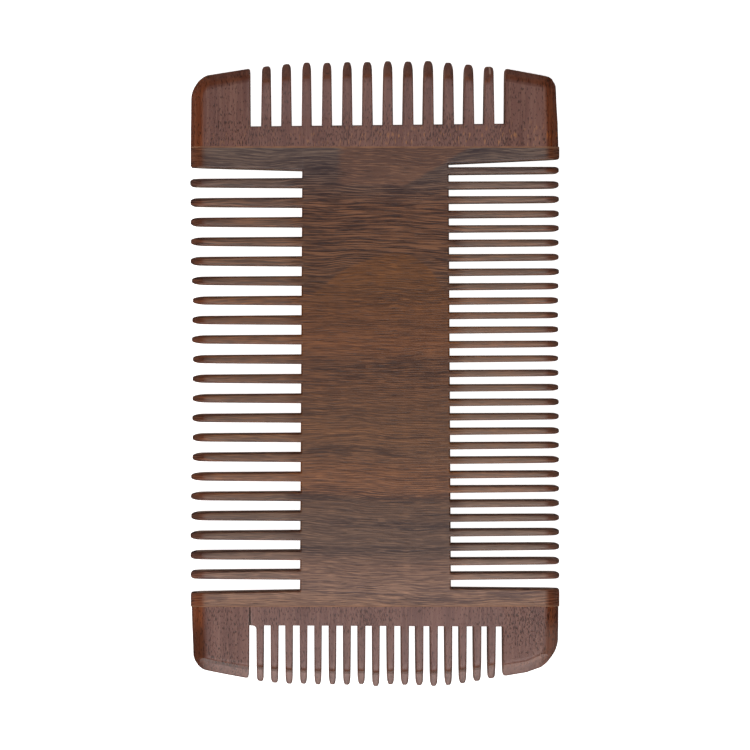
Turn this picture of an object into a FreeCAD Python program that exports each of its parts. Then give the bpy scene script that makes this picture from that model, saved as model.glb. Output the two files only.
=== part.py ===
import FreeCAD, Part
import os
import Sketcher

# Beard comb lying on its back: X across, Y along (coarse end at +Y), Z up.
# A cross-grain centre board carries both side rows of teeth, and an end rail
# with its own short row is glued and tenoned on at each end.

doc = FreeCAD.newDocument("beard_comb")
sheet = doc.addObject("Spreadsheet::Sheet", "Sizes")

sizes = {
    # overall
    "combLength": 100.0,
    "combWidth": 59.0,
    "combThickness": 8.0,
    "edgeRound": 2.6,
    "endArcRadius": 161.0,
    "coarseRailLength": 13.7,
    "fineRailLength": 13.2,
    # glue joints
    "glueFilm": 0.2,
    "tenonGlue": 0.15,
    "tenonLength": 6.0,
    "tenonThickness": 2.8,
    "tenonShoulder": 3.2,
    # every row: how far the slot opens out, and the flat left at a tooth tip
    "slotFlare": 1.07,
    "tipLand": 0.45,
    # coarse side row, on the left edge of the centre board; the slot share is the
    # part of the pitch that is open
    "coarseSideTeeth": 21,
    "coarseSideDepth": 17.65,
    "coarseSideTopMargin": 4.01,
    "coarseSideLowMargin": 3.32,
    "coarseSideSlotShare": 0.55,
    "coarseSideTip": 1.5,
    # fine side row, on its right edge
    "fineSideTeeth": 29,
    "fineSideDepth": 17.6,
    "fineSideTopMargin": 2.5,
    "fineSideLowMargin": 3.48,
    "fineSideSlotShare": 0.55,
    "fineSideTip": 1.2,
    # short row on the coarse rail
    "coarseEndTeeth": 12,
    "coarseEndWeb": 3.63,
    "coarseEndLeftMargin": 10.47,
    "coarseEndRightMargin": 9.68,
    "coarseEndSlotShare": 0.55,
    "coarseEndTip": 1.1,
    # short row on the fine rail
    "fineEndTeeth": 17,
    "fineEndWeb": 3.26,
    "fineEndLeftMargin": 9.95,
    "fineEndRightMargin": 9.7,
    "fineEndSlotShare": 0.52,
    "fineEndTip": 1.0,
    # plan radius of each outer corner
    "coarseLeftCorner": 3.2,
    "coarseRightCorner": 1.6,
    "fineLeftCorner": 2.5,
    "fineRightCorner": 4.8,
}

for row, (alias, value) in enumerate(sizes.items(), start=1):
    sheet.set("A%d" % row, alias)
    sheet.set("B%d" % row, str(value))
    sheet.setAlias("B%d" % row, alias)
doc.recompute()


def cell(alias):
    return "Sizes.%s" % alias


# Expressions that several sub-parts share.
halfWidth = "Sizes.combWidth / 2"
midHeight = "Sizes.combThickness / 2"
coarseFace = "(Sizes.combLength / 2 - Sizes.coarseRailLength)"
fineFace = "(Sizes.fineRailLength - Sizes.combLength / 2)"
solidWidth = "(Sizes.combWidth - Sizes.coarseSideDepth - Sizes.fineSideDepth)"
solidMiddle = "((Sizes.coarseSideDepth - Sizes.fineSideDepth) / 2)"
tenonHalf = "(%s / 2 - Sizes.tenonShoulder)" % solidWidth


def number(expression):
    value = sheet.evalExpression(expression)
    return float(getattr(value, "Value", value))


def plane(body, role):
    return next(f for f in body.Origin.OriginFeatures if f.Role == role)


def newBody(name):
    body = doc.addObject("PartDesign::Body", name)
    body.Label = name
    return body


def newSketch(body, name, role, offset=None):
    """Sketch on an origin plane; offset moves it (x, y, z) in the sketch's own axes."""
    sketch = body.newObject("Sketcher::SketchObject", name)
    sketch.AttachmentSupport = (plane(body, role), [""])
    sketch.MapMode = "FlatFace"
    for axis, expression in (offset or {}).items():
        sketch.setExpression("AttachmentOffset.Base.%s" % axis, expression)
    return sketch


def pin(sketch, kind, geo, end, expression):
    index = sketch.addConstraint(
        Sketcher.Constraint(kind, -1, 1, geo, end, number(expression)))
    sketch.setExpression("Constraints[%d]" % index, expression)


def arcThrough(start, finish, radius, bulge):
    """Arc between two points; bulge +1 turns anticlockwise from start to finish."""
    chord = finish - start
    half = chord.Length / 2
    reach = max(radius ** 2 - half ** 2, 0) ** 0.5
    side = FreeCAD.Vector(-chord.y, chord.x, 0).normalize() * (reach * bulge)
    centre = (start + finish) / 2 + side
    circle = Part.Circle(centre, FreeCAD.Vector(0, 0, 1), radius)
    first, last = (start, finish) if bulge > 0 else (finish, start)
    return Part.ArcOfCircle(circle, circle.parameter(first), circle.parameter(last))


def drawLoop(sketch, corners):
    """Closed outline. Each corner is (x, y) or (x, y, radius, bulge), where the
    last two turn the side that leaves the corner into an arc."""
    points = [FreeCAD.Vector(number(c[0]), number(c[1]), 0) for c in corners]
    sides = []
    for i, corner in enumerate(corners):
        start = points[i]
        finish = points[(i + 1) % len(points)]
        if len(corner) == 2:
            geo = sketch.addGeometry(Part.LineSegment(start, finish))
            sides.append((geo, 1, 2))
        else:
            arc = arcThrough(start, finish, number(corner[2]), corner[3])
            geo = sketch.addGeometry(arc)
            sides.append((geo, 1, 2) if corner[3] > 0 else (geo, 2, 1))
    for i, (geo, head, tail) in enumerate(sides):
        following = sides[(i + 1) % len(sides)]
        sketch.addConstraint(
            Sketcher.Constraint("Coincident", geo, tail, following[0], following[1]))
    for corner, (geo, head, tail) in zip(corners, sides):
        pin(sketch, "DistanceX", geo, head, corner[0])
        pin(sketch, "DistanceY", geo, head, corner[1])
        if len(corner) > 2:
            index = sketch.addConstraint(
                Sketcher.Constraint("Radius", geo, number(corner[2])))
            sketch.setExpression("Constraints[%d]" % index, corner[2])
    doc.recompute()


def rectangle(left, right, low, high):
    return [(left, low), (right, low), (right, high), (left, high)]


def edgeProfile(sketch):
    """Cross-section with rounded long edges, shared by boards and glue films."""
    inner = "(%s - Sizes.edgeRound)" % halfWidth
    upper = "(Sizes.combThickness - Sizes.edgeRound)"
    drawLoop(sketch, [
        ("-" + inner, "0"),
        (inner, "0", cell("edgeRound"), 1),
        (halfWidth, cell("edgeRound")),
        (halfWidth, upper, cell("edgeRound"), 1),
        (inner, cell("combThickness")),
        ("-" + inner, cell("combThickness"), cell("edgeRound"), 1),
        ("-" + halfWidth, upper),
        ("-" + halfWidth, cell("edgeRound"), cell("edgeRound"), 1),
    ])


def padAlong(body, name, sketch, length):
    pad = body.newObject("PartDesign::Pad", name)
    pad.Profile = sketch
    pad.setExpression("Length", length)
    doc.recompute()
    return pad


def cutThrough(body, name, sketch):
    pocket = body.newObject("PartDesign::Pocket", name)
    pocket.Profile = sketch
    pocket.Type = "ThroughAll"
    pocket.Midplane = True
    doc.recompute()
    return pocket


def repeatAlong(body, name, feature, role, pitch, count):
    pattern = body.newObject("PartDesign::LinearPattern", name)
    pattern.Originals = [feature]
    pattern.Direction = (plane(body, role), [""])
    pattern.Mode = "Spacing"
    pattern.setExpression("Offset", pitch)
    pattern.setExpression("Occurrences", count)
    body.Tip = pattern
    doc.recompute()
    return pattern


def toothRow(body, row, span, teeth, edge, root, toMap, role):
    """Saw a row of slots and shape the tooth tips. span is (first slot centre, last
    slot centre) along the row; edge and root are the tip line and the slot floor."""
    first, last = span
    pitch = "((%s - %s) / %s)" % (last, first, teeth)
    half = "(%s * Sizes.%sSlotShare / 2)" % (pitch, row)
    mouth = "(%s * Sizes.slotFlare)" % half
    outward = 1 if number(edge) > number(root) else -1
    beyond = "(%s + %d * Sizes.edgeRound)" % (edge, outward)

    def corner(along, across, *arc):
        x, y = toMap(along, across)
        return (x, y) + arc

    slots = newSketch(body, row + "_slot_sketch", "XY_Plane")
    drawLoop(slots, [
        corner("(%s - %s)" % (first, half), root),
        corner("(%s + %s)" % (first, half), root),
        corner("(%s + %s)" % (first, mouth), beyond),
        corner("(%s - %s)" % (first, mouth), beyond),
    ])
    slot = cutThrough(body, row + "_slot", slots)
    repeatAlong(body, row + "_slots", slot, role, pitch, teeth + " + 1")

    tip = "Sizes.%sTip" % row
    shoulder = "(%s - %d * %s)" % (edge, outward, tip)
    centre = "(%s + %s / 2)" % (first, pitch)
    flank = "(%s / 2 - %s)" % (pitch, mouth)
    land = "(Sizes.tipLand / 2)"
    drop = "(%s - %s)" % (flank, land)
    bow = "(0.8 * (%s ^ 2 + %s ^ 2) / %s)" % (drop, tip, drop)
    tips = newSketch(body, row + "_tip_sketch", "XY_Plane")
    for sign in (-1, 1):
        turn = sign * outward * (1 if role == "Y_Axis" else -1)
        place = "(%s + %d * %s)"
        drawLoop(tips, [
            corner(place % (centre, sign, flank), shoulder, bow, -turn),
            corner(place % (centre, sign, land), edge),
            corner(place % (centre, sign, land), beyond),
            corner("(%s + %d * %s / 2)" % (centre, sign, pitch), beyond),
            corner("(%s + %d * %s / 2)" % (centre, sign, pitch), shoulder),
        ])
    rounding = cutThrough(body, row + "_tip", tips)
    repeatAlong(body, row + "_tips", rounding, role, pitch, teeth)


def acrossSide(along, across):
    return across, along


def acrossEnd(along, across):
    return along, across


# Centre board, with a mortise in each end for the rails' tenons.
centre = newBody("centre_board")
profile = newSketch(centre, "centre_profile", "XZ_Plane", {"z": "-" + coarseFace})
edgeProfile(profile)
padAlong(centre, "centre_pad", profile, "%s - %s" % (coarseFace, fineFace))
toothRow(
    centre, "coarseSide",
    ("(%s + Sizes.coarseSideLowMargin)" % fineFace,
     "(%s - Sizes.coarseSideTopMargin)" % coarseFace),
    cell("coarseSideTeeth"),
    "(-%s)" % halfWidth, "(Sizes.coarseSideDepth - %s)" % halfWidth,
    acrossSide, "Y_Axis")
toothRow(
    centre, "fineSide",
    ("(%s + Sizes.fineSideLowMargin)" % fineFace,
     "(%s - Sizes.fineSideTopMargin)" % coarseFace),
    cell("fineSideTeeth"),
    "(%s)" % halfWidth, "(%s - Sizes.fineSideDepth)" % halfWidth,
    acrossSide, "Y_Axis")


def tenonOutline(sketch, gap):
    drawLoop(sketch, rectangle(
        "(%s - %s - %s)" % (solidMiddle, tenonHalf, gap),
        "(%s + %s + %s)" % (solidMiddle, tenonHalf, gap),
        "(%s - Sizes.tenonThickness / 2 - %s)" % (midHeight, gap),
        "(%s + Sizes.tenonThickness / 2 + %s)" % (midHeight, gap)))


mortiseDepth = "(Sizes.tenonLength + Sizes.tenonGlue)"
for name, face, reverse in (("coarse", coarseFace, False), ("fine", fineFace, True)):
    outline = newSketch(centre, name + "_mortise_sketch", "XZ_Plane", {"z": "-" + face})
    tenonOutline(outline, cell("tenonGlue"))
    mortise = centre.newObject("PartDesign::Pocket", name + "_mortise")
    mortise.Profile = outline
    mortise.Reversed = not reverse
    mortise.setExpression("Length", mortiseDepth)
    doc.recompute()


def endRail(name, row, face, outward, corners, margins):
    """Rail with its end rounded on the big arc, a short tooth row and a tenon."""
    rail = newBody(name)
    joint = "(%s + %d * Sizes.glueFilm)" % (face, outward)
    tip = "(%d * Sizes.combLength / 2)" % outward
    profile = newSketch(rail, name + "_profile", "XZ_Plane", {"z": "-" + joint})
    edgeProfile(profile)
    pad = padAlong(rail, name + "_pad", profile, "abs(%s - %s)" % (tip, joint))
    pad.Reversed = outward > 0
    doc.recompute()

    # The end is a shallow arc with the same rounded edge as the sides.
    turning = newSketch(rail, name + "_end_sketch", "YZ_Plane",
                        {"x": "(%s - %d * Sizes.endArcRadius)" % (tip, outward)})
    start = "(%d * (Sizes.endArcRadius - Sizes.edgeRound))" % outward
    edge = "(%d * Sizes.endArcRadius)" % outward
    clear = "(%d * (Sizes.endArcRadius + Sizes.edgeRound))" % outward
    above = "(Sizes.combThickness + 1)"
    upper = "(Sizes.combThickness - Sizes.edgeRound)"
    drawLoop(turning, [
        (start, "0", cell("edgeRound"), outward),
        (edge, cell("edgeRound")),
        (edge, upper, cell("edgeRound"), outward),
        (start, cell("combThickness")),
        (start, above),
        (clear, above),
        (clear, "(-1)"),
        (start, "(-1)"),
    ])
    groove = rail.newObject("PartDesign::Groove", name + "_end")
    groove.Profile = turning
    groove.ReferenceAxis = (turning, ["V_Axis"])
    groove.Angle = 60
    groove.Midplane = True
    doc.recompute()

    plan = newSketch(rail, name + "_corner_sketch", "XY_Plane")
    sagitta = "(Sizes.endArcRadius - sqrt(Sizes.endArcRadius ^ 2 - (%s) ^ 2))" % halfWidth
    for side, radius in zip((-1, 1), corners):
        high = "(%s - %d * %s)" % (tip, outward, sagitta)
        rim = "(%d * %s)" % (side, halfWidth)
        drawLoop(plan, [
            (rim, "(%s - %d * %s)" % (high, outward, cell(radius)),
             cell(radius), side * outward),
            ("(%s - %d * %s)" % (rim, side, cell(radius)),
             "(%s + %d * %s * Sizes.combWidth / 2 / Sizes.endArcRadius)"
             % (high, outward, cell(radius))),
            ("(%s - %d * %s)" % (rim, side, cell(radius)),
             "(%s + %d)" % (tip, outward)),
            ("(%s + %d)" % (rim, side), "(%s + %d)" % (tip, outward)),
            ("(%s + %d)" % (rim, side),
             "(%s - %d * %s)" % (high, outward, cell(radius))),
        ])
    cutThrough(rail, name + "_corners", plan)

    root = "(%s + %d * Sizes.%sWeb)" % (face, outward, row)
    toothRow(
        rail, row,
        ("(Sizes.%s - %s)" % (margins[0], halfWidth),
         "(%s - Sizes.%s)" % (halfWidth, margins[1])),
        cell(row + "Teeth"), tip, root, acrossEnd, "X_Axis")

    outline = newSketch(rail, name + "_tenon_sketch", "XZ_Plane", {"z": "-" + joint})
    tenonOutline(outline, "0")
    tenon = padAlong(rail, name + "_tenon", outline,
                     "Sizes.tenonLength + Sizes.glueFilm")
    tenon.Reversed = outward < 0
    rail.Tip = tenon
    doc.recompute()
    return rail


endRail("coarse_end_rail", "coarseEnd", coarseFace, 1,
        ("coarseLeftCorner", "coarseRightCorner"),
        ("coarseEndLeftMargin", "coarseEndRightMargin"))
endRail("fine_end_rail", "fineEnd", fineFace, -1,
        ("fineLeftCorner", "fineRightCorner"),
        ("fineEndLeftMargin", "fineEndRightMargin"))


def glueFilm(name, face, outward):
    """Film across the joint face, with a sleeve filling the gap round the tenon."""
    film = newBody(name)
    profile = newSketch(film, name + "_profile", "XZ_Plane", {"z": "-" + face})
    edgeProfile(profile)
    layer = padAlong(film, name + "_layer", profile, cell("glueFilm"))
    layer.Reversed = outward > 0
    doc.recompute()

    outer = newSketch(film, name + "_sleeve_sketch", "XZ_Plane", {"z": "-" + face})
    tenonOutline(outer, cell("tenonGlue"))
    sleeve = padAlong(film, name + "_sleeve", outer, mortiseDepth)
    sleeve.Reversed = outward < 0
    doc.recompute()

    joint = "(%s + %d * Sizes.glueFilm)" % (face, outward)
    inner = newSketch(film, name + "_tenon_sketch", "XZ_Plane", {"z": "-" + joint})
    tenonOutline(inner, "0")
    hollow = film.newObject("PartDesign::Pocket", name + "_hollow")
    hollow.Profile = inner
    hollow.Reversed = outward > 0
    hollow.setExpression("Length", "Sizes.tenonLength + Sizes.glueFilm")
    doc.recompute()


glueFilm("coarse_glue_film", coarseFace, 1)
glueFilm("fine_glue_film", fineFace, -1)

doc.recompute()
for item in doc.Objects:
    if "Invalid" in item.State or "Error" in item.State:
        raise RuntimeError("%s did not build: %s" % (item.Name, item.State))

os.makedirs("parts", exist_ok=True)
for body in doc.findObjects("PartDesign::Body"):
    if body.Shape.isNull() or not body.Shape.isValid():
        raise RuntimeError("%s has no sound solid" % body.Label)
    body.Shape.exportStep("parts/%s.step" % body.Label)
    box = body.Shape.BoundBox
    print("%-18s solids %d  volume %8.1f mm3  x %.2f..%.2f  y %.2f..%.2f  z %.2f..%.2f" % (
        body.Label, len(body.Shape.Solids), body.Shape.Volume,
        box.XMin, box.XMax, box.YMin, box.YMax, box.ZMin, box.ZMax))
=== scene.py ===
import bisect
import math
import random

import bmesh
import bpy
from mathutils import Matrix, Vector


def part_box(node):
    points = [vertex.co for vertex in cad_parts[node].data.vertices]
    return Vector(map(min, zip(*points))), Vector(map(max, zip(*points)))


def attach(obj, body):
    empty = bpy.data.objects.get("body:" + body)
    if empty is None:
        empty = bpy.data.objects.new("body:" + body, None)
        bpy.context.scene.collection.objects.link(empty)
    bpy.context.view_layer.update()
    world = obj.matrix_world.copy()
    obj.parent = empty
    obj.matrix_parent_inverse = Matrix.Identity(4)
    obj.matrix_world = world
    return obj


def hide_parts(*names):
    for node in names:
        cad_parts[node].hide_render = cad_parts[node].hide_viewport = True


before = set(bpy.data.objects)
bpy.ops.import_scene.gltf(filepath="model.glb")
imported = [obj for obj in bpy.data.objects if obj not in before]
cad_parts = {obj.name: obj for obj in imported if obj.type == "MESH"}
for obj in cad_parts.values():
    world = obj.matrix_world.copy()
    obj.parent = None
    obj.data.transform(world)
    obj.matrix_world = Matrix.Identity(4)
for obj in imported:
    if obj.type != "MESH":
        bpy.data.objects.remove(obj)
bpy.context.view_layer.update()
print("frame loaded")

# Meshes are shaped in millimetres, centred on the comb's mid-height, and scaled at the end.
perMetre = 1000.0
boardLow, boardHigh = (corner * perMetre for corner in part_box("centre_board"))
coarseLow, coarseHigh = (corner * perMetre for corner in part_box("coarse_end_rail"))
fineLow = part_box("fine_end_rail")[0] * perMetre
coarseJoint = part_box("coarse_glue_film")[1].y * perMetre
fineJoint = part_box("fine_glue_film")[0].y * perMetre
halfWidth = (boardHigh.x - boardLow.x) / 2
halfThick = (boardHigh.z - boardLow.z) / 2
halfLong = (boardHigh.y - boardLow.y) / 2

shape = {
    "edgeRound": 2.6,        # round-over along the long sides
    "bevelStart": 3.1,       # the ends turn down here, then run straight to the tips
    "bevelFlat": 1.95,
    "bevelSlope": 0.9,
    "tipEase": 0.22,
    "endArc": 161.0,         # plan radius of both ends
    "rootSkew": 0.2,         # the side rows' floors lean by this much at each end
    "tenonHalfThick": 1.4,
    "tenonHalfWidth": 8.6,
    "tenonMiddle": 0.1,
    "mortiseGlue": 0.15,
    "bowFull": 4.0,          # the ends' bow is whole this far from the tips
    "leanReach": 9.0,        # a rail's side leans over this width
    "backReach": 9.5,        # and its tip stands back over this one
    # in half slots from the middle of the outermost slot
    "guardShare": 0.5,       # a guard's bevel begins this far inside it
    "backShare": 0.9,        # the left guard stands back from this far outside it
    "pastCorner": 0.4,
}

coarseSide = {
    "teeth": 21, "depth": 17.65, "lowMargin": 3.32, "highMargin": 4.01, "slotShare": 0.55,
    "rootWider": 1.105, "tipNarrower": 0.915, "softRoot": 0.32, "softTip": 0.6,
    "tipLong": 1.9, "tipShort": 0.4, "tipFlat": 0.3, "guardRound": 0.3,
    "wedge": (0.1, 0.4, -0.45, 0.05),     # how far the low and high guards open, at floor and tip
    "sweep": 0.0, "lean": 0.02, "seed": 11,
    # how far each tip stands back from the outline
    "back": (-0.01, -0.05, -0.05, 0.06, 0.02, 0.05, 0.28, 0.29, 0.24, 0.28, 0.31,
             0.34, 0.18, 0.24, 0.33, 0.18, -0.01, 0.02, 0.0, -0.04, -0.09),
}
fineSide = {
    "teeth": 29, "depth": 17.6, "lowMargin": 3.48, "highMargin": 2.50, "slotShare": 0.55,
    "rootWider": 1.10, "tipNarrower": 1.01, "softRoot": 0.28, "softTip": 0.5,
    "tipLong": 1.25, "tipShort": 0.7, "tipFlat": 0.36, "guardRound": 0.25,
    "wedge": (0.1, 0.25, -0.7, 0.12),
    "sweep": 0.12, "lean": 0.015, "seed": 12,
    "back": (0.0, 0.02, 0.02, 0.03, 0.04, 0.05, 0.04, 0.02, 0.06, 0.06, 0.06, 0.08, 0.09, 0.16, 0.14,
             0.18, 0.16, 0.18, 0.20, 0.20, 0.15, 0.05, 0.11, 0.12, 0.08, 0.08, 0.06, 0.11, 0.09),
}
coarseEnd = {
    "teeth": 12, "depth": 10.07, "lowMargin": 10.47, "highMargin": 9.68, "slotShare": 0.55,
    "rootWider": 1.155, "tipNarrower": 0.99, "softRoot": 0.22, "softTip": 0.5,
    "tipLong": 1.25, "tipShort": 0.3, "tipFlat": 0.36, "guardRound": 0.35,
    "wedge": (0.0, 0.04, 0.0, 0.04),
    "sweep": 0.0, "lean": 0.03, "seed": 13,
    "back": (-0.33, -0.38, -0.37, -0.14, -0.14, -0.10, -0.24, -0.26, -0.49, -0.42, -0.39, -0.37),
}
fineEnd = {
    "teeth": 17, "depth": 9.94, "lowMargin": 9.95, "highMargin": 9.70, "slotShare": 0.52,
    "rootWider": 1.115, "tipNarrower": 1.02, "softRoot": 0.18, "softTip": 0.42,
    "tipLong": 1.1, "tipShort": 0.4, "tipFlat": 0.36, "guardRound": 0.45,
    "wedge": (0.0, 0.04, 0.0, 0.04),
    "sweep": 0.0, "lean": 0.035, "seed": 14,
    "back": (-0.03, -0.05, 0.0, 0.17, 0.21, 0.32, 0.35, 0.51, 0.20, 0.46, 0.32, 0.18, -0.06, -0.07,
             0.04, 0.17, 0.36),
    "rootSteps": (0.1, 0.25, 0.45, 0.7), "shoulder": 0.7,
}
crack = {"x": -20.02, "halfWidth": 0.09, "drop": 0.5}     # split above the first short slot

# How unlike each other the teeth are, and how their edges soften.
wear = {
    "widthSpread": 0.035,
    "taperSpread": 0.18,
    "softReach": 7.0,        # edges are softer within this much of the tips
    "softCurve": 1.5,
    "taperSwell": 1.35,      # middle teeth have the longest tapers
    "taperFall": 3,
    "softLimit": 0.92,       # largest share of half a tooth that softening takes
}
# Which faces are slot walls: how upright, and how far from the outer edges.
sawnZone = {"upright": 0.3, "sideInset": 0.9, "endReach": 42.0, "endHalfWidth": 21.5}
creaseAngle = math.radians(48)

# Places closer than these count as the same.
sameLine = 0.004
samePlace = 1e-3
weld = 1e-4

rings = (0.0, 0.08, 0.3, 0.65, 1.0)                 # lines across a softened slot edge
edgeSteps = (0.0, 0.03, 0.07, 0.12, 0.19, 0.27, 0.37, 0.48, 0.73, 1.0)
bevelSteps = (0.06, 0.14, 0.24, 0.6, 1.2, 1.95, 2.15, 2.4, 2.7, 3.1)


def roundOver(inward, radius):
    if inward >= radius:
        return 0.0
    return radius * (1 - math.sqrt(1 - (1 - max(inward, 0) / radius) ** 2))


def bevelDrop(inward):
    # The ends: a short curve, a straight bevel, and an eased tip.
    start, flat, slope, ease = (shape[key] for key in ("bevelStart", "bevelFlat", "bevelSlope", "tipEase"))
    inward = max(inward, 0.0)
    if inward >= start:
        return 0.0
    if inward >= flat:
        return slope * (start - inward) ** 2 / (2 * (start - flat))
    return slope * ((start - flat) / 2 + flat - inward) + roundOver(inward, ease)


def blend(low, high, share):
    return low + (high - low) * max(0.0, min(1.0, share))


def planRow(row, low, high):
    # Where the saw lines fall along a row that runs from low to high.
    first = low + row["lowMargin"]
    last = high - row["highMargin"]
    pitch = (last - first) / row["teeth"]
    halfSlot = pitch * row["slotShare"] / 2
    halfTooth = pitch / 2 - halfSlot
    lines = []
    for tooth in range(row["teeth"]):
        middle = first + (tooth + 0.5) * pitch
        lines.append((middle, tooth, 0, 1.0))
        for side in (-1, 1):
            for ring in rings:
                lines.append((middle + side * (halfTooth - ring * row["softRoot"]), tooth, side, ring))
    for ring in rings:
        lines.append((first - halfSlot - ring * row["softRoot"], -1, 1, ring))
        lines.append((last + halfSlot + ring * row["softRoot"], row["teeth"], -1, ring))
    lines.sort()
    dice = random.Random(row["seed"])
    habits = [{
        "width": 1 + dice.uniform(-wear["widthSpread"], wear["widthSpread"]),
        "lean": dice.uniform(-1, 1) * row["lean"],
        "taper": 1 + dice.uniform(-wear["taperSpread"], wear["taperSpread"]),
    } for tooth in range(row["teeth"])]
    return {"row": row, "first": first, "pitch": pitch, "halfSlot": halfSlot, "halfTooth": halfTooth,
            "lines": lines, "places": [line[0] for line in lines], "habits": habits}


def lineAt(plan, along):
    nearest = bisect.bisect_left(plan["places"], along)
    for index in (nearest - 1, nearest):
        if 0 <= index < len(plan["places"]) and abs(plan["places"][index] - along) < sameLine:
            return plan["lines"][index]
    return None


def wearTooth(plan, along, inward):
    # Returns the worn place along the row, how far the edge stands back there,
    # and how far the face drops, for a point of the flat sheet.
    row = plan["row"]
    line = lineAt(plan, along)
    pastFloor = max(0.0, (inward - row["depth"]) / row["softRoot"])
    if line is None:
        steps = (along - plan["first"]) / plan["pitch"]
        inRow = 0 <= round(steps) <= row["teeth"]
        overSlot = inRow and abs(steps - round(steps)) * plan["pitch"] < plan["halfSlot"]
        drop = roundOver(pastFloor * row["softRoot"], row["softRoot"])
        return along, 0.0, drop if overSlot and inward > row["depth"] - samePlace else 0.0
    place, owner, side, ring = line
    outShare = 1 - min(inward / row["depth"], 1)
    nearTip = max(0.0, 1 - inward / wear["softReach"]) ** wear["softCurve"]
    soft = blend(row["softRoot"], row["softTip"], nearTip)
    if 0 <= owner < row["teeth"]:
        habit = plan["habits"][owner]
        spread = abs((owner + 0.5) / row["teeth"] * 2 - 1)
        swell = wear["taperSwell"] * (1 - spread ** wear["taperFall"])
        taper = blend(row["tipShort"], row["tipLong"], swell) * habit["taper"]
        half = plan["halfTooth"] * blend(row["rootWider"], row["tipNarrower"], outShare) * habit["width"]
        if inward > row["depth"]:
            half = plan["halfTooth"] * row["rootWider"] * habit["width"]
        if inward < taper:
            half *= row["tipFlat"] + (1 - row["tipFlat"]) * math.sqrt(1 - (1 - inward / taper) ** 2)
        soft = min(soft, half * wear["softLimit"])
        middle = plan["first"] + (owner + 0.5) * plan["pitch"] + (habit["lean"] + row["sweep"]) * outShare
        setBack = row["back"][owner]
        worn = middle if side == 0 else middle + side * (half - ring * soft)
        reach = 1.0 if side == 0 else ring
        if owner == 0 and side < 0 and "shoulder" in row:
            worn -= roundOver(row["depth"] - inward, row["shoulder"])
    else:
        soft = row["softRoot"]
        root, outer = row["wedge"][:2] if owner < 0 else row["wedge"][2:]
        corner = roundOver(inward, row["guardRound"])
        worn = place - side * (blend(root, outer, outShare) + corner)
        setBack = 0.0
        reach = ring
    distance = math.hypot(reach, pastFloor) if pastFloor > 0 else reach
    drop = roundOver(min(distance, 1.0) * soft, soft)
    return worn, setBack * outShare, drop


def cutAcross(bm, faces, axis, place):
    normal = Vector([1.0 if index == axis else 0.0 for index in range(3)])
    edges = list({edge for face in faces for edge in face.edges})
    verts = list({vert for face in faces for vert in face.verts})
    parts = faces + edges + verts
    bmesh.ops.bisect_plane(bm, geom=parts, dist=weld, plane_co=normal * place, plane_no=normal)


def cutSheet(bm, chooses, axis, places):
    for place in places:
        cutAcross(bm, [face for face in bm.faces if chooses(face.calc_center_median())], axis, place)


def blankSheet(left, right, low, high):
    bm = bmesh.new()
    bmesh.ops.create_grid(bm, x_segments=1, y_segments=1, size=0.5)
    bmesh.ops.scale(bm, vec=(right - left, high - low, 1), verts=bm.verts)
    bmesh.ops.translate(bm, vec=((left + right) / 2, (low + high) / 2, 0), verts=bm.verts)
    return bm


def openSlots(bm, plan, axis, inwardOf):
    # Takes away the cells of the sheet that the saw removed.
    gone = []
    for face in bm.faces:
        centre = face.calc_center_median()
        inward = inwardOf(centre)
        if inward > plan["row"]["depth"]:
            continue
        steps = (centre[axis] - plan["first"]) / plan["pitch"]
        nearest = round(steps)
        if 0 <= nearest <= plan["row"]["teeth"] and abs(steps - nearest) * plan["pitch"] < plan["halfSlot"]:
            gone.append(face)
    bmesh.ops.delete(bm, geom=gone, context="FACES")


def stationsOf(row, edge):
    # Lines parallel to the tips: close together over the edge and the slot floor.
    shaft = [blend(edge[-1], row["depth"], share) for share in (0.12, 0.3, 0.6)]
    root = [row["depth"] - step for step in reversed(row.get("rootSteps", ()))]
    floor = [row["depth"] + ring * row["softRoot"] for ring in rings]
    return edge + shaft + root + floor


def thicken(bm):
    # The sheet holds the upper face; its mirror image closes the solid.
    made = bmesh.ops.extrude_face_region(bm, geom=bm.faces[:], use_keep_orig=True)
    for item in made["geom"]:
        if isinstance(item, bmesh.types.BMVert):
            item.co.z = -item.co.z
    bmesh.ops.remove_doubles(bm, verts=bm.verts, dist=weld)
    bmesh.ops.recalc_face_normals(bm, faces=bm.faces)


def jointPocket(bm, face, outward, length, gap):
    # Steps a rectangle out of (or into) the joint face for the tenon or mortise.
    halfWide = shape["tenonHalfWidth"] + gap
    halfThin = shape["tenonHalfThick"] + gap
    middle = shape["tenonMiddle"]

    def onJoint(f):
        return all(abs(v.co.y - face) < samePlace for v in f.verts)

    for axis, place in ((0, middle - halfWide), (0, middle + halfWide), (2, -halfThin), (2, halfThin)):
        cutAcross(bm, [f for f in bm.faces if onJoint(f)], axis, place)
    inside = []
    for f in bm.faces:
        centre = f.calc_center_median()
        if onJoint(f) and abs(centre.x - middle) < halfWide and abs(centre.z) < halfThin:
            inside.append(f)
    made = bmesh.ops.extrude_face_region(bm, geom=inside)
    moved = [item for item in made["geom"] if isinstance(item, bmesh.types.BMVert)]
    bmesh.ops.translate(bm, vec=(0, outward * length, 0), verts=moved)
    # The extrusion leaves its first faces behind, inside the wood.
    bmesh.ops.delete(bm, geom=inside, context="FACES")
    bmesh.ops.recalc_face_normals(bm, faces=bm.faces)


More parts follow.
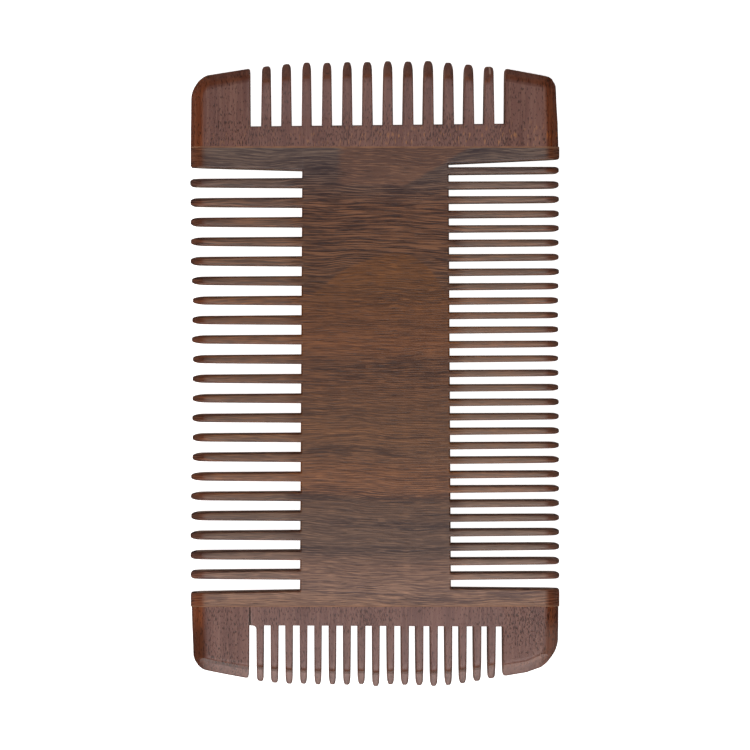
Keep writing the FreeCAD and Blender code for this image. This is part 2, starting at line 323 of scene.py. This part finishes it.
def finishPiece(bm, name, material, nodes):
    # Shading breaks only where two faces meet sharply. An attribute marks the slot walls,
    # which the materials paint paler: partly raw sawn wood, partly painted light from the floor.
    bm.normal_update()
    sawn = bm.faces.layers.float.new("sawn")
    for face in bm.faces:
        face.smooth = True
        middle = face.calc_center_median()
        if abs(face.normal.y) > abs(face.normal.x):
            offEdge = abs(middle.x) < halfWidth - sawnZone["sideInset"]
            inSlots = offEdge and abs(middle.y) < sawnZone["endReach"]
        else:
            inSlots = abs(middle.x) < sawnZone["endHalfWidth"]
        face[sawn] = 1.0 if inSlots and abs(face.normal.z) < sawnZone["upright"] else 0.0
    for edge in bm.edges:
        if len(edge.link_faces) == 2 and edge.calc_face_angle() > creaseAngle:
            edge.smooth = False
    rise = Matrix.Translation((0, 0, halfThick))
    bmesh.ops.transform(bm, matrix=Matrix.Scale(1 / perMetre, 4) @ rise, verts=bm.verts)
    mesh = bpy.data.meshes.new(name)
    bm.to_mesh(mesh)
    bm.free()
    mesh.materials.append(material)
    piece = bpy.data.objects.new(name, mesh)
    bpy.context.scene.collection.objects.link(piece)
    even = piece.modifiers.new("even", "WEIGHTED_NORMAL")
    even.keep_sharp = True
    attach(piece, "root")
    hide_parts(*nodes)
    print(name, len(mesh.polygons), "faces")


def makeCentreBoard(material):
    low, high = boardLow.y, boardHigh.y
    left = planRow(coarseSide, low, high)
    right = planRow(fineSide, low, high)
    leftBand = coarseSide["depth"] + coarseSide["softRoot"] - halfWidth
    rightBand = halfWidth - fineSide["depth"] - fineSide["softRoot"]
    bm = blankSheet(-halfWidth, halfWidth, low, high)
    cutSheet(bm, lambda c: True, 0, (leftBand, rightBand))
    cutSheet(bm, lambda c: c.x < leftBand, 1, left["places"])
    cutSheet(bm, lambda c: c.x > rightBand, 1, right["places"])
    edge = [step * shape["edgeRound"] for step in edgeSteps[1:]]
    cutSheet(bm, lambda c: c.x < leftBand, 0, [s - halfWidth for s in stationsOf(coarseSide, edge)[:-1]])
    cutSheet(bm, lambda c: c.x > rightBand, 0, [halfWidth - s for s in stationsOf(fineSide, edge)[:-1]])
    openSlots(bm, left, 1, lambda c: c.x + halfWidth)
    openSlots(bm, right, 1, lambda c: halfWidth - c.x)
    for vert in bm.verts:
        onLeft = vert.co.x < 0
        plan = left if onLeft else right
        inward = vert.co.x + halfWidth if onLeft else halfWidth - vert.co.x
        along, setBack, drop = wearTooth(plan, vert.co.y, inward)
        fall = drop + roundOver(inward, shape["edgeRound"])
        skew = shape["rootSkew"] * along / halfLong * min(inward / plan["row"]["depth"], 1.0)
        vert.co.x += setBack + skew if onLeft else -setBack - skew
        vert.co.y = along
        vert.co.z = halfThick - fall
    thicken(bm)
    pocket = high - coarseLow.y + shape["mortiseGlue"]
    jointPocket(bm, high, -1, pocket, shape["mortiseGlue"])
    jointPocket(bm, low, 1, pocket, shape["mortiseGlue"])
    finishPiece(bm, "centre_board_wood", material, ["centre_board"])


def makeRail(name, material, node, row, form):
    # form: outward sign, joint and tip lines, corner radii, and how the sides lean in.
    outward, joint, tip = form["outward"], form["joint"], form["tip"]
    plan = planRow(row, -halfWidth, halfWidth)
    bm = blankSheet(-halfWidth, halfWidth, min(joint, tip), max(joint, tip))
    sides = [step * shape["edgeRound"] for step in edgeSteps[1:]]
    sides.append(form["rightCorner"] + shape["pastCorner"])
    columns = [s - halfWidth for s in sides] + plan["places"] + [halfWidth - s for s in sides]
    if form["cracked"]:
        columns += [crack["x"] + step * crack["halfWidth"] for step in (-1, 0, 1)]
    cutSheet(bm, lambda c: True, 0, columns)
    cutSheet(bm, lambda c: True, 1, [tip - outward * s for s in stationsOf(row, list(bevelSteps))])
    openSlots(bm, plan, 0, lambda c: outward * (tip - c.y))
    for vert in bm.verts:
        inward = outward * (tip - vert.co.y)
        along, setBack, drop = wearTooth(plan, vert.co.x, inward)
        side = 1 if vert.co.x > 0 else -1
        fromSide = halfWidth - abs(vert.co.x)
        onGuard = abs(vert.co.x) > -plan["first"] - plan["halfSlot"] * shape["guardShare"]
        turn = form["guardTurn"] if onGuard else 1.0
        fall = drop + max(roundOver(fromSide, shape["edgeRound"]), bevelDrop(inward / turn) * turn)
        if form["cracked"] and abs(vert.co.x - crack["x"]) < samePlace and inward > row["depth"] - samePlace:
            fall += crack["drop"]
        corner = form["rightCorner"] if side > 0 else form["leftCorner"]
        if inward < corner and fromSide < corner:
            toSide, toTip = corner - fromSide, corner - inward
            ring = max(toSide, toTip)
            length = math.hypot(toSide, toTip)
            along = side * (halfWidth - corner + ring * toSide / length)
            inward = corner - ring * toTip / length
        bow = shape["endArc"] - math.sqrt(shape["endArc"] ** 2 - along ** 2)
        fade = max(0.0, min(1.0, (row["depth"] - inward) / (row["depth"] - shape["bowFull"])))
        sideShare = max(0.0, 1 - fromSide / shape["leanReach"])
        lean = form["rightLean"] if side > 0 else form["leftLean"]
        reach = blend(lean[0], lean[1], abs(vert.co.y - joint) / abs(tip - joint))
        if plan["first"] - plan["halfSlot"] * shape["backShare"] > vert.co.x or vert.co.x > -plan["first"]:
            guard = form["rightBack"] if side > 0 else form["leftBack"]
            setBack = blend(guard[0], guard[1], 1 - fromSide / shape["backReach"])
            setBack *= 1 - min(inward / row["depth"], 1)
        vert.co.x = along - side * reach * sideShare
        whole = abs(tip - joint)
        share = inward / row["depth"] if inward < row["depth"] else (whole - inward) / (whole - row["depth"])
        vert.co.y = tip - outward * (inward + setBack + bow * fade) + form["skew"] * along / halfWidth * share
        vert.co.z = halfThick - fall
    thicken(bm)
    jointPocket(bm, joint, -outward, form["tenon"], 0.0)
    finishPiece(bm, name, material, [node])


coarseForm = {
    "outward": 1, "joint": coarseJoint, "tip": coarseHigh.y, "tenon": coarseJoint - coarseLow.y,
    "guardTurn": 0.6, "leftCorner": 3.2, "rightCorner": 1.6, "skew": 0.33, "cracked": False,
    "leftLean": (0.0, 0.1), "rightLean": (0.15, 0.6),
    "leftBack": (-0.22, -0.22), "rightBack": (-0.37, -0.2),
}
fineForm = {
    "outward": -1, "joint": fineJoint, "tip": fineLow.y, "tenon": coarseJoint - coarseLow.y,
    "guardTurn": 0.8, "leftCorner": 2.2, "rightCorner": 4.8, "skew": -0.16, "cracked": True,
    "leftLean": (0.15, 0.45), "rightLean": (0.15, 0.25),
    "leftBack": (0.22, 0.5), "rightBack": (0.5, 0.65),
}


# Node material helpers: a wire does sums, a recipe adds nodes.
class Wire:
    def __init__(self, recipe, socket):
        self.recipe = recipe
        self.socket = socket

    def sum(self, operation, first, second):
        return self.recipe.add("ShaderNodeMath", {"operation": operation}, {0: first, 1: second})

    def __add__(self, other):
        return self.sum("ADD", self, other)

    __radd__ = __add__

    def __mul__(self, other):
        return self.sum("MULTIPLY", self, other)

    __rmul__ = __mul__

    def __sub__(self, other):
        return self.sum("SUBTRACT", self, other)

    def __rsub__(self, other):
        return self.sum("SUBTRACT", other, self)

    def __truediv__(self, other):
        return self.sum("DIVIDE", self, other)

    def __abs__(self):
        return self.sum("ABSOLUTE", self, 0.0)


class Recipe:
    def __init__(self, name):
        self.material = bpy.data.materials.new(name)
        self.material.use_nodes = True
        self.nodes = self.material.node_tree.nodes
        self.links = self.material.node_tree.links
        self.shader = self.nodes["Principled BSDF"]

    def add(self, kind, settings=None, sockets=None, out=0):
        node = self.nodes.new(kind)
        for key, value in (settings or {}).items():
            if key == "stops":
                ramp = node.color_ramp
                while len(ramp.elements) > 1:
                    ramp.elements.remove(ramp.elements[-1])
                ramp.elements[0].position, ramp.elements[0].color = value[0][0], (*value[0][1], 1)
                for place, colour in value[1:]:
                    ramp.elements.new(place).color = (*colour, 1)
            else:
                setattr(node, key, value)
        self.feed(node, sockets or {})
        return Wire(self, node.outputs[out])

    def feed(self, node, sockets):
        for key, value in sockets.items():
            if isinstance(value, Wire):
                self.links.new(value.socket, node.inputs[key])
            else:
                node.inputs[key].default_value = value

    def between(self, value, low, high, fromValue=0.0, toValue=1.0):
        return self.add("ShaderNodeMapRange", {"interpolation_type": "SMOOTHSTEP"},
                        {0: value, 1: low, 2: high, 3: fromValue, 4: toValue})

    def mixColour(self, share, first, second, how="MIX"):
        return self.add("ShaderNodeMix", {"data_type": "RGBA", "blend_type": how},
                        {0: share, 6: first, 7: second}, 2)

    def point(self, x, y, z):
        return self.add("ShaderNodeCombineXYZ", None, {0: x, 1: y, 2: z})

    def noise(self, where, detail, rough):
        return self.add("ShaderNodeTexNoise", {"noise_dimensions": "3D"},
                        {"Vector": where, "Scale": 1.0, "Detail": detail, "Roughness": rough})

    def grain(self, place, stretch, detail=0.0, rough=0.5):
        # Noise with its own stretch along each axis.
        return self.noise(self.point(*(part * share for part, share in zip(place, stretch))), detail, rough)

    def paint(self, share, tone, colour):
        return self.mixColour(share, tone, opaque(*colour))

    def tinted(self, tone, colour):
        return self.mixColour(1.0, tone, opaque(*colour), "MULTIPLY")

    def attribute(self, name):
        return self.add("ShaderNodeAttribute", {"attribute_name": name}, None, 2)


def opaque(red, green, blue):
    return (red, green, blue, 1.0)


def objectMillimetres(recipe):
    where = recipe.add("ShaderNodeTexCoord", None, None, 3)
    apart = recipe.add("ShaderNodeSeparateXYZ", None, {0: where})
    node = apart.socket.node
    return [Wire(recipe, node.outputs[i]) * perMetre for i in range(3)]


# The band on the rounded edges, by distance from the nearer face: darker and redder, partly wear and partly
# painted shade.
edgeWearAndShade = {
    "turnStart": (0.02, 0.2), "turnEnd": (0.48, 0.60),
    "sideFrom": (24.5, 28.6), "sideDepth": (-0.12, 0.3),
    "coarseFrom": (-5.0, 5.0), "coarseSpread": 0.75, "coarseSofter": 0.35,
}


def edgeBand(recipe, x, y, z):
    # The whole round-over along the sides. At the fine end only the first turn,
    # at the coarse end more softly. The band is partly wear, partly painted shade.
    depth = halfThick - abs(z - halfThick)
    coarse = recipe.between(y, *edgeWearAndShade["coarseFrom"])
    pastTurn = recipe.between(depth, *edgeWearAndShade["turnEnd"]) * (1 - coarse * edgeWearAndShade["coarseSpread"])
    turn = recipe.between(depth, *edgeWearAndShade["turnStart"]) * (1 - pastTurn)
    turn = turn * (1 - coarse * edgeWearAndShade["coarseSofter"])
    side = recipe.between(abs(x), *edgeWearAndShade["sideFrom"]) * recipe.between(depth, *edgeWearAndShade["sideDepth"])
    return turn + side * (1 - turn)


centreLook = {
    "drift": 3.0, "ripple": 1.4,
    # own colour along the board, by y in millimetres; paler and greyer towards the ends, most at the fine
    # end: partly the wood's own colour, partly painted sheen
    "tone": [
        (-36.8, (0.154, 0.076, 0.048)), (-34.0, (0.144, 0.074, 0.051)),
        (-30.5, (0.122, 0.060, 0.040)), (-28.3, (0.081, 0.042, 0.029)),
        (-24.0, (0.085, 0.043, 0.028)), (-19.8, (0.082, 0.038, 0.022)),
        (-18.8, (0.126, 0.049, 0.022)), (-15.5, (0.114, 0.042, 0.017)),
        (-12.0, (0.087, 0.036, 0.017)), (-8.8, (0.110, 0.043, 0.017)),
        (-6.8, (0.085, 0.034, 0.015)), (-1.0, (0.087, 0.032, 0.013)),
        (1.4, (0.080, 0.030, 0.013)), (4.5, (0.112, 0.038, 0.013)),
        (8.2, (0.085, 0.029, 0.010)), (12.0, (0.108, 0.036, 0.011)),
        (14.8, (0.074, 0.029, 0.013)), (27.0, (0.078, 0.030, 0.015)),
        (31.5, (0.066, 0.036, 0.028)), (36.3, (0.082, 0.052, 0.043)),
    ],
    # The tooth colour pales and greys the teeth: painted sheen.
    "hill": (0.117, 0.054, 0.034), "dome": (0.104, 0.036, 0.010), "tooth": (0.27, 0.18, 0.13),
    "domeTop": (4.2, 19.5), "domeFall": (0.033, 0.13), "domeFade": (8.0, 15.0),
    "hillBase": 30.1, "hillLeft": (-6.6, -4.8), "hillPeak": 4.6, "hillSlope": 0.58, "raggedReach": 0.9,
    "darken": (0.42, 0.41, 0.55), "gild": (2.1, 2.15, 1.9), "pore": (0.030, 0.014, 0.010),
    # The edge tint: rounded edges darker and redder, partly wear, partly painted shade.
    # The low-end colour: painted shade on the rounded edges at the fine end.
    # The tip tint: rounded tooth edges cooler and greyer, a painted reflection.
    "edge": (1.15, 0.52, 0.22), "tip": (0.66, 0.92, 1.45), "lowEndShade": (0.045, 0.024, 0.017),
    # Slot wall colour: partly raw sawn wood, partly painted light from the white floor.
    "sawn": (0.35, 0.225, 0.165),
    # how strongly each of them covers; the teeth have one share on each side, the right one larger: their
    # paleness is painted sheen
    "toothSheenShare": (0.12, 0.28), "poreShare": 0.5, "edgeShare": 0.8, "lowEndShadeShare": 0.45,
    "toothEdgeReflectionShare": 0.9, "litSawnShare": 0.85,
    # where the teeth begin, across and along the board
    "teethFrom": (12.4, 15.0), "teethTop": (32.2, 32.7), "teethLow": (-33.7, -33.3),
    "lowEndTop": (-33.6, -33.0),
    # stretch of each grain along x, y and z
    "driftGrain": (0.022, 0.045, 0.03), "rippleGrain": (0.10, 0.16, 0.08), "raggedGrain": (0.5, 1.6, 0.2),
    "broadGrain": (0.03, 0.45, 0.2), "lineGrain": (0.17, 6.8, 0.4),
    "rough": 0.34, "roughGrain": 0.12, "roughEdge": -0.06, "roughSawn": 0.1,
    "bump": {"Strength": 0.25, "Distance": 0.00004},
}


def centreWood():
    look = centreLook
    recipe = Recipe("cross_grain_hardwood")
    x, y, z = objectMillimetres(recipe)
    drift = recipe.grain((x, y, z), look["driftGrain"], 1.0) - 0.5
    ripple = recipe.grain((x, y, z), look["rippleGrain"], 1.0) - 0.5
    across = y + drift * look["drift"] + ripple * look["ripple"]
    low, high = look["tone"][0][0], look["tone"][-1][0]
    stops = [((place - low) / (high - low), colour) for place, colour in look["tone"]]
    tone = recipe.add("ShaderNodeValToRGB", {"stops": stops}, {0: (across - low) / (high - low)})
    # Where the growth rings surface: a hill at the coarse end and a dome below it.
    rise = x - look["domeTop"][0]
    steep = recipe.between(rise, -0.6, 0.6, *look["domeFall"])
    ragged = recipe.grain((x, y, z), look["raggedGrain"], 1.0) - 0.5
    torn = ragged * look["raggedReach"]
    inDome = recipe.between(look["domeTop"][1] - rise * rise * steep + torn - y, -0.25, 0.45)
    inDome = inDome * recipe.between(y, *look["domeFade"])
    upHill = y - look["hillBase"]
    hillSide = recipe.between(x + ragged * 1.4, *look["hillLeft"])
    hillFloor = recipe.between(upHill + torn, -0.3, 0.4)
    hillSlant = recipe.between(upHill - (x - look["hillPeak"]) * look["hillSlope"] + torn, -0.3, 0.5)
    inHill = hillSide * hillFloor * hillSlant
    tone = recipe.paint(inDome, tone, look["dome"])
    tone = recipe.paint(inHill, tone, look["hill"])
    # Crisp streaks: long pale and dark lines, then short hairs, then dark pores.
    broad = recipe.grain((x, across, z), look["broadGrain"], 2.0, 0.55)
    lines = recipe.grain((x, across, z), look["lineGrain"])
    hair = recipe.noise(recipe.point(x * 0.5, across * 6.2 + 30.0, z * 0.5), 0.0, 0.5)
    streaky = recipe.between(y, 10.0, 19.0, 0.42, 1.0) * recipe.between(y, 29.0, 32.0, 1.0, 0.45)
    banded = recipe.between(y, -31.5, -29.5) * recipe.between(y, -19.5, -17.5, 1.0, 0.0) * 0.3 + 0.48
    # The hill and the dome are calmer.
    streaky = streaky * (1 - inHill * 0.85) * (1 - inDome * 0.75)
    darkened = recipe.tinted(tone, look["darken"])
    gilded = recipe.tinted(tone, look["gild"])
    darkBands = recipe.between(broad, 0.38, 0.54, 1.0, 0.0) * banded
    dark = recipe.between(lines, 0.34, 0.50, 1.0, 0.0) * streaky + darkBands
    light = recipe.between(lines, 0.54, 0.66) * streaky + recipe.between(hair, 0.57, 0.70) * 0.42
    tone = recipe.mixColour(dark, tone, darkened)
    tone = recipe.mixColour(light, tone, gilded)
    pores = recipe.between(hair, 0.26, 0.38, 1.0, 0.0)
    tone = recipe.paint(pores * look["poreShare"], tone, look["pore"])
    outTeeth = recipe.between(abs(x), *look["teethFrom"]) * recipe.between(y, *look["teethTop"], 1.0, 0.0)
    outTeeth = outTeeth * recipe.between(y, *look["teethLow"])
    # Paler, greyer teeth, more on the right: painted sheen.
    tone = recipe.paint(outTeeth * recipe.between(x, -2.0, 2.0, *look["toothSheenShare"]), tone, look["tooth"])
    # Rounded edges darker and redder: partly wear, partly painted shade.
    rounded = edgeBand(recipe, x, y, z)
    tone = recipe.mixColour(rounded * look["edgeShare"], tone, recipe.tinted(tone, look["edge"]))
    # Rounded edges at the fine end darker: painted shade.
    lowEndShadeMask = rounded * recipe.between(y, *look["lowEndTop"], 1.0, 0.0)
    tone = recipe.paint(lowEndShadeMask * look["lowEndShadeShare"], tone, look["lowEndShade"])
    # Rounded tooth edges tinted cooler and greyer: painted reflection of the pale surroundings.
    tips = rounded * outTeeth * look["toothEdgeReflectionShare"]
    tone = recipe.mixColour(tips, tone, recipe.tinted(tone, look["tip"]))
    sawn = recipe.attribute("sawn")
    # Slot walls paler: partly raw sawn wood, partly painted light from the white floor.
    tone = recipe.paint(sawn * look["litSawnShare"], tone, look["sawn"])
    rough = look["rough"] + (lines - 0.5) * look["roughGrain"] + rounded * look["roughEdge"]
    rough = rough + sawn * look["roughSawn"]
    bump = recipe.add("ShaderNodeBump", None, {**look["bump"], "Height": lines - pores * 0.6})
    recipe.feed(recipe.shader, {"Base Color": tone, "Roughness": rough, "Normal": bump})
    print("centre board finish ready")
    return recipe.material


railLook = {
    "base": (0.138, 0.060, 0.046), "warm": (0.168, 0.078, 0.057), "deep": (0.104, 0.043, 0.034),
    "dash": (0.030, 0.013, 0.010), "fleck": (0.36, 0.15, 0.055),
    # The edge tint: rounded edges darker and redder, partly wear, partly painted shade.
    # The facet colour: a painted reflection on the bevel facets and the fine end's right side.
    # The tooth colour: rail teeth paler and greyer, a painted sheen.
    "edge": (0.98, 0.50, 0.12), "facetReflection": (0.24, 0.15, 0.12), "tooth": (0.25, 0.175, 0.17),
    # Slot wall colour: partly raw sawn wood, partly painted light from the white floor.
    "sawn": (0.34, 0.215, 0.165), "split": (0.012, 0.007, 0.006), "shade": (0.018, 0.007, 0.005),
    "warmShare": 0.7, "dashShare": 0.8, "fleckShare": 0.6, "edgeShare": 0.8, "facetReflectionShare": 0.18,
    "litSawnShare": 0.85,
    # across the fine end, from the middle to the right guard: painted sheen, or painted shade
    "guardAcross": (12.0, 26.0), "rightGuardSheenShare": (0.0, 0.3), "shadedShare": (0.55, 0.0),
    "fineEndTop": (-42.0, -38.5), "facetTop": (-45.0, -44.0), "facetHalfWidth": (24.0, 28.0),
    "splitHalf": (0.10, 0.20), "splitLow": (-40.7, -40.4), "splitHigh": (-37.3, -37.0),
    "byJoint": (37.0, 42.0), "teethWithin": (20.0, 20.8),
    # stretch of each grain along x, y and z
    "driftGrain": (0.10, 0.05, 0.07), "broadGrain": (0.45, 0.03, 0.15), "fineGrain": (2.6, 0.10, 1.0),
    "dashGrain": (5.6, 1.5, 2.0), "crowdGrain": (0.16, 0.14, 0.1),
    "rough": 0.34, "roughGrain": 0.12, "roughEdge": -0.06, "roughSawn": 0.1,
    "bump": {"Strength": 0.3, "Distance": 0.00005},
}


def railWood():
    look = railLook
    recipe = Recipe("long_grain_hardwood")
    x, y, z = objectMillimetres(recipe)
    drift = recipe.grain((x, y, z), look["driftGrain"], 1.0) - 0.5
    across = x + drift * 2.4
    broad = recipe.grain((across, y, z), look["broadGrain"], 2.0, 0.55)
    grain = recipe.grain((across, y, z), look["fineGrain"], 1.0)
    tone = recipe.mixColour(recipe.between(broad, 0.36, 0.62), opaque(*look["deep"]), opaque(*look["base"]))
    tone = recipe.paint(recipe.between(grain, 0.46, 0.68) * look["warmShare"], tone, look["warm"])
    # Short dark pores crowd towards the joints; pale flecks sit by the coarse joint.
    toJoint = recipe.between(abs(y), *look["byJoint"], 1.0, 0.0)
    dashes = recipe.grain((across, y, z), look["dashGrain"], 1.0, 0.4)
    crowd = recipe.grain((x, y, z), look["crowdGrain"], 1.0) - 0.5
    dash = recipe.between(dashes + crowd * 0.3 - toJoint * 0.03, 0.33, 0.42, 1.0, 0.0)
    tone = recipe.paint(dash * look["dashShare"], tone, look["dash"])
    flecks = recipe.noise(recipe.point(across * 3.8 + 40.0, y * 0.9, z * 1.4), 0.0, 0.5)
    byFlecks = toJoint * recipe.between(y, -5.0, 5.0)
    byFlecks = byFlecks * recipe.between(x + crowd * 30.0, -20.0, 12.0, 0.3, 1.0)
    fleck = recipe.between(flecks, 0.64, 0.76) * byFlecks
    tone = recipe.paint(fleck * look["fleckShare"], tone, look["fleck"])
    # Rail teeth paler and greyer, most towards the tips: painted sheen.
    teethSheen = recipe.between(abs(x), *look["teethWithin"], 1.0, 0.0)
    teethSheen = teethSheen * (recipe.between(abs(y), 40.5, 42.0) * 0.08 + 0.07)
    tone = recipe.paint(teethSheen, tone, look["tooth"])
    # Rounded edges darker and redder: partly wear, partly painted shade.
    rounded = edgeBand(recipe, x, y, z)
    tone = recipe.mixColour(rounded * look["edgeShare"], tone, recipe.tinted(tone, look["edge"]))
    # The fine end's edge gets painted shade on the left and a painted sheen towards the right guard.
    fineEdge = rounded * recipe.between(y, *look["fineEndTop"], 1.0, 0.0)
    rightGuardSheen = fineEdge * recipe.between(x, *look["guardAcross"], *look["rightGuardSheenShare"])
    tone = recipe.paint(rightGuardSheen, tone, look["facetReflection"])
    shaded = fineEdge * recipe.between(x, *look["guardAcross"], *look["shadedShare"])
    tone = recipe.paint(shaded, tone, look["shade"])
    # Bevel facets at the fine end's tips paler: painted reflection.
    facetReflection = recipe.between(halfThick - abs(z - halfThick), *edgeWearAndShade["turnEnd"])
    facetReflection = facetReflection * recipe.between(y, *look["facetTop"], 1.0, 0.0)
    facetReflection = facetReflection * recipe.between(abs(x), *look["facetHalfWidth"], 1.0, 0.0)
    tone = recipe.paint(facetReflection * look["facetReflectionShare"], tone, look["facetReflection"])
    split = recipe.between(abs(x - crack["x"] + (dashes - 0.5) * 0.3), *look["splitHalf"], 1.0, 0.0)
    split = split * recipe.between(y, *look["splitLow"]) * recipe.between(y, *look["splitHigh"], 1.0, 0.0)
    tone = recipe.paint(split, tone, look["split"])
    sawn = recipe.attribute("sawn")
    # Slot walls paler: partly raw sawn wood, partly painted light from the white floor.
    tone = recipe.paint(sawn * look["litSawnShare"], tone, look["sawn"])
    rough = look["rough"] + (grain - 0.5) * look["roughGrain"] + rounded * look["roughEdge"]
    rough = rough + sawn * look["roughSawn"]
    bump = recipe.add("ShaderNodeBump", None, {**look["bump"], "Height": grain * 0.5 - dash})
    recipe.feed(recipe.shader, {"Base Color": tone, "Roughness": rough, "Normal": bump})
    print("rail finish ready")
    return recipe.material


glueLook = {
    "deep": (0.14, 0.062, 0.034), "pale": (0.22, 0.095, 0.046),
    "patch": (0.5, 2.0, 0.5), "rough": 0.4,
}


def glueAmber():
    recipe = Recipe("amber_glue")
    x, y, z = objectMillimetres(recipe)
    patchy = recipe.grain((x, y, z), glueLook["patch"], 3.0)
    pale = recipe.between(patchy, 0.35, 0.65)
    tone = recipe.mixColour(pale, opaque(*glueLook["deep"]), opaque(*glueLook["pale"]))
    recipe.feed(recipe.shader, {"Base Color": tone, "Roughness": glueLook["rough"]})
    print("glue finish ready")
    return recipe.material


studio = {
    "cameraPlace": (-0.0125, 0.0050, 1.0),
    "aim": (0.0, 0.0, 0.004),
    "viewWide": 0.1202,
    "sensor": 36.0,
    "clip": (0.01, 10.0),
    "floorSize": 3.0,
    "floorTone": (0.8, 0.8, 0.8),
    "floorRough": 0.9,
    "floorGlow": 0.97,
    "roomTone": (0.02, 0.021, 0.023),
    # name, place, size, power, falls on surfaces, shows in reflections
    "lights": [
        ("key", (-0.20, -0.30, 0.80), (0.8, 0.8), 11.0, True, False),
        ("sheen", (0.08, -0.27, 0.85), (0.6, 0.32), 1.7, False, True),
        ("low", (0.0, -0.80, 0.16), (1.4, 0.32), 4.0, False, True),
    ],
}


def makeCamera():
    data = bpy.data.cameras.new("camera")
    camera = bpy.data.objects.new("camera", data)
    bpy.context.scene.collection.objects.link(camera)
    place, aim = Vector(studio["cameraPlace"]), Vector(studio["aim"])
    look = (aim - place).normalized()
    right = look.cross(Vector((0, 1, 0))).normalized()
    up = right.cross(look)
    camera.matrix_world = Matrix((
        (right.x, up.x, -look.x, place.x),
        (right.y, up.y, -look.y, place.y),
        (right.z, up.z, -look.z, place.z),
        (0, 0, 0, 1)))
    data.sensor_width = studio["sensor"]
    data.lens = studio["sensor"] * (aim - place).length / studio["viewWide"]
    data.clip_start, data.clip_end = studio["clip"]
    bpy.context.scene.camera = camera


def areaLight(name, place, size, power, onSurfaces, inReflections):
    data = bpy.data.lights.new(name, "AREA")
    data.shape = "RECTANGLE"
    data.size, data.size_y = size
    data.energy = power
    lamp = bpy.data.objects.new(name, data)
    lamp.location = place
    lamp.rotation_euler = (-Vector(place)).to_track_quat("-Z", "Y").to_euler()
    lamp.visible_diffuse = onSurfaces
    lamp.visible_glossy = inReflections
    bpy.context.scene.collection.objects.link(lamp)


def makeStudio():
    bm = bmesh.new()
    bmesh.ops.create_grid(bm, x_segments=1, y_segments=1, size=studio["floorSize"] / 2)
    mesh = bpy.data.meshes.new("floor")
    bm.to_mesh(mesh)
    bm.free()
    floor = bpy.data.objects.new("floor", mesh)
    bpy.context.scene.collection.objects.link(floor)
    recipe = Recipe("white_sweep")
    recipe.feed(recipe.shader, {
        "Base Color": opaque(*studio["floorTone"]), "Roughness": studio["floorRough"],
        "Emission Color": opaque(1, 1, 1), "Emission Strength": studio["floorGlow"]})
    mesh.materials.append(recipe.material)
    floor.visible_glossy = False
    for light in studio["lights"]:
        areaLight(*light)
    world = bpy.data.worlds.new("room")
    world.use_nodes = True
    background = world.node_tree.nodes["Background"]
    background.inputs["Color"].default_value = opaque(*studio["roomTone"])
    background.inputs["Strength"].default_value = 1.0
    bpy.context.scene.world = world
    bpy.context.scene.view_settings.view_transform = "Standard"
    print("studio ready")


makeCamera()
makeStudio()
boardWood = centreWood()
endWood = railWood()
amber = glueAmber()
makeCentreBoard(boardWood)
makeRail("coarse_end_rail_wood", endWood, "coarse_end_rail", coarseEnd, coarseForm)
makeRail("fine_end_rail_wood", endWood, "fine_end_rail", fineEnd, fineForm)
for name in ("coarse_glue_film", "fine_glue_film"):
    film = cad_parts[name]
    for index in range(len(film.data.materials)):
        film.material_slots[index].material = amber
print("pieces made")
